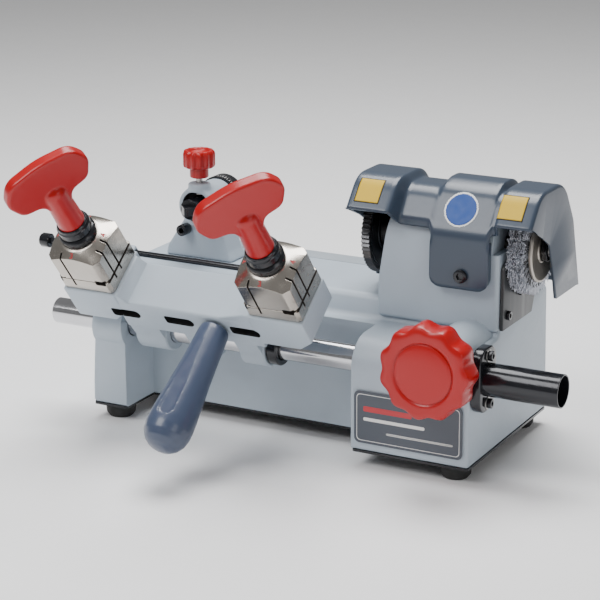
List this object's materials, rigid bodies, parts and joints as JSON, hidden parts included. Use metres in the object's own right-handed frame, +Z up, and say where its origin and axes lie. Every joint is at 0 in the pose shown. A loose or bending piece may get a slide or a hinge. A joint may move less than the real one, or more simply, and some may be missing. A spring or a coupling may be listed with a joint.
{
  "type": "key duplicating machine",
  "caption": "Bench key duplicator: sliding, tilting carriage with screw clamps and lever, tracer, hooded cutter and wire brush, feed knob, and hollow cast base.",
  "frame": {"origin": "centre of the whole machine's bounding box in X and Y, at the floor under its feet", "axes": "+X along the machine's length, from the tracer towards the shaft tube; +Y from the front, where the user stands, to the back; +Z up"},
  "size_m": [0.4236, 0.2706, 0.2332],
  "materials": {
    "black_metal": "satin black oxide",
    "black_plastic": "fine texture",
    "black_rubber": "matt",
    "blue_grip": "satin",
    "brush_disc": "turned",
    "bush_bronze": "turned",
    "casting_paint": "fine textured light blue-grey paint",
    "dark_steel": "dark turned steel",
    "hood_paint": "satin slate blue",
    "label_film": "satin film",
    "motor_grey": "satin",
    "nickel_steel": "nickel plated",
    "polished_steel": "ground and polished",
    "red_plastic": "gloss",
    "steel_wire": "crimped wire"
  },
  "bodies": {
    "base": {"base_casting": "casting_paint", "bottom_plate": "black_metal", "bracket_screw": "black_metal", "drive_belt": "black_rubber", "flange_screw_lower": "black_metal", "flange_screw_upper": "black_metal", "foot_front_left": "black_rubber", "foot_front_right": "black_rubber", "foot_rear_left": "black_rubber", "foot_rear_right": "black_rubber", "hood": "hood_paint", "hood_screw": "black_metal", "label_plate": "label_film", "motor": "motor_grey", "motor_cradle": "casting_paint", "power_inlet": "black_plastic", "shaft_bush": "bush_bronze", "shaft_tube": "black_metal", "side_plate": "dark_steel", "spindle_bearing_left": "polished_steel", "spindle_bearing_right": "polished_steel", "switch_housing": "black_plastic", "tracer_bracket": "casting_paint", "tube_flange": "black_metal"},
    "shaft": {"carriage_shaft": "polished_steel", "stop_collar": "black_metal"},
    "carriage": {"carriage_casting": "casting_paint", "lever_grip": "blue_grip", "lever_stud": "polished_steel", "clamp_stud_left": "polished_steel", "clamp_stud_right": "polished_steel", "lower_jaw_left": "nickel_steel", "lower_jaw_right": "nickel_steel"},
    "lift_left": {"upper_jaw_left": "nickel_steel", "clamp_washer_left": "black_metal"},
    "lift_right": {"upper_jaw_right": "nickel_steel", "clamp_washer_right": "black_metal"},
    "handle_left": {"clamp_handle_left": "red_plastic"},
    "handle_right": {"clamp_handle_right": "red_plastic"},
    "gauge": {"gauge_rod": "black_metal", "gauge_knob": "black_metal", "gauge_finger_left": "black_metal", "gauge_finger_right": "black_metal"},
    "adjusting_ring": {"tracer_ring": "black_metal"},
    "tracer": {"tracer_rod": "black_metal"},
    "lock_knob": {"tracer_lock_knob": "red_plastic"},
    "feed_knob": {"front_knob": "red_plastic", "front_knob_cap": "red_plastic", "pinion_spindle": "polished_steel"},
    "spindle_set": {"spindle": "dark_steel", "cutter": "dark_steel", "cutter_nut": "dark_steel", "cutter_collar": "dark_steel", "brush_bristles": "steel_wire", "brush_disc": "brush_disc", "brush_nut": "dark_steel"},
    "rotor": {"motor_pulley": "dark_steel"},
    "rocker": {"switch_rocker": "black_plastic"}
  },
  "joints": [
    {"name": "carriage_slide", "type": "slide", "parent": "base", "child": "shaft", "axis": [1, 0, 0], "range_m": [0, 0.04]},
    {"name": "carriage_tilt", "type": "hinge", "parent": "shaft", "child": "carriage", "pos_m": [-0.0398, -0.0077, 0.0772], "axis": [-1, 0, 0], "range_deg": [0, 35]},
    {"name": "feed_knob_turn", "type": "hinge", "parent": "base", "child": "feed_knob", "pos_m": [0.127, -0.0508, 0.0902], "axis": [0, -1, 0], "range_deg": [0, 367]},
    {"name": "clamp_lift_left", "type": "slide", "parent": "carriage", "child": "lift_left", "axis": [0, -0.6293, 0.7771], "range_m": [0, 0.003]},
    {"name": "handle_turn_left", "type": "hinge", "parent": "lift_left", "child": "handle_left", "pos_m": [-0.1403, -0.0742, 0.16489], "axis": [0, -0.6293, 0.7771], "range_deg": [0, 360]},
    {"name": "clamp_lift_right", "type": "slide", "parent": "carriage", "child": "lift_right", "axis": [0, -0.6293, 0.7771], "range_m": [0, 0.003]},
    {"name": "handle_turn_right", "type": "hinge", "parent": "lift_right", "child": "handle_right", "pos_m": [0.0147, -0.0742, 0.16489], "axis": [0, -0.6293, 0.7771], "range_deg": [0, 360]},
    {"name": "gauge_turn", "type": "hinge", "parent": "carriage", "child": "gauge", "pos_m": [-0.0628, -0.01554, 0.13455], "axis": [1, 0, 0], "range_deg": [0, 175]},
    {"name": "tracer_ring_turn", "type": "hinge", "parent": "base", "child": "adjusting_ring", "pos_m": [-0.1128, 0.0892, 0.157], "axis": [0, 1, 0], "range_deg": [-180, 180]},
    {"name": "tracer_slide", "type": "slide", "parent": "base", "child": "tracer", "axis": [0, -1, 0], "range_m": [-0.0005, 0.0005]},
    {"name": "tracer_lock_turn", "type": "hinge", "parent": "base", "child": "lock_knob", "pos_m": [-0.1128, 0.0552, 0.19], "axis": [0, 0, 1], "range_deg": [0, 90]},
    {"name": "spindle_spin", "type": "hinge", "parent": "base", "child": "spindle_set", "pos_m": [0.0972, 0.0622, 0.156], "axis": [1, 0, 0], "continuous": true},
    {"name": "motor_spin", "type": "hinge", "parent": "base", "child": "rotor", "pos_m": [0.0972, 0.0792, 0.062], "axis": [1, 0, 0], "continuous": true},
    {"name": "switch_rock", "type": "hinge", "parent": "base", "child": "rocker", "pos_m": [0.1032, 0.1305, 0.071], "axis": [1, 0, 0], "range_deg": [0, 8]}
  ],
  "couplings": [
    {"joint": "feed_knob_turn", "follows": "carriage_slide", "rad_per_m": 160},
    {"joint": "handle_turn_left", "follows": "clamp_lift_left", "rad_per_m": 2094.4},
    {"joint": "handle_turn_right", "follows": "clamp_lift_right", "rad_per_m": 2094.4},
    {"joint": "tracer_slide", "follows": "tracer_ring_turn", "m_per_rad": 0.00015915},
    {"joint": "motor_spin", "follows": "spindle_spin", "ratio": 1.3889}
  ]
}
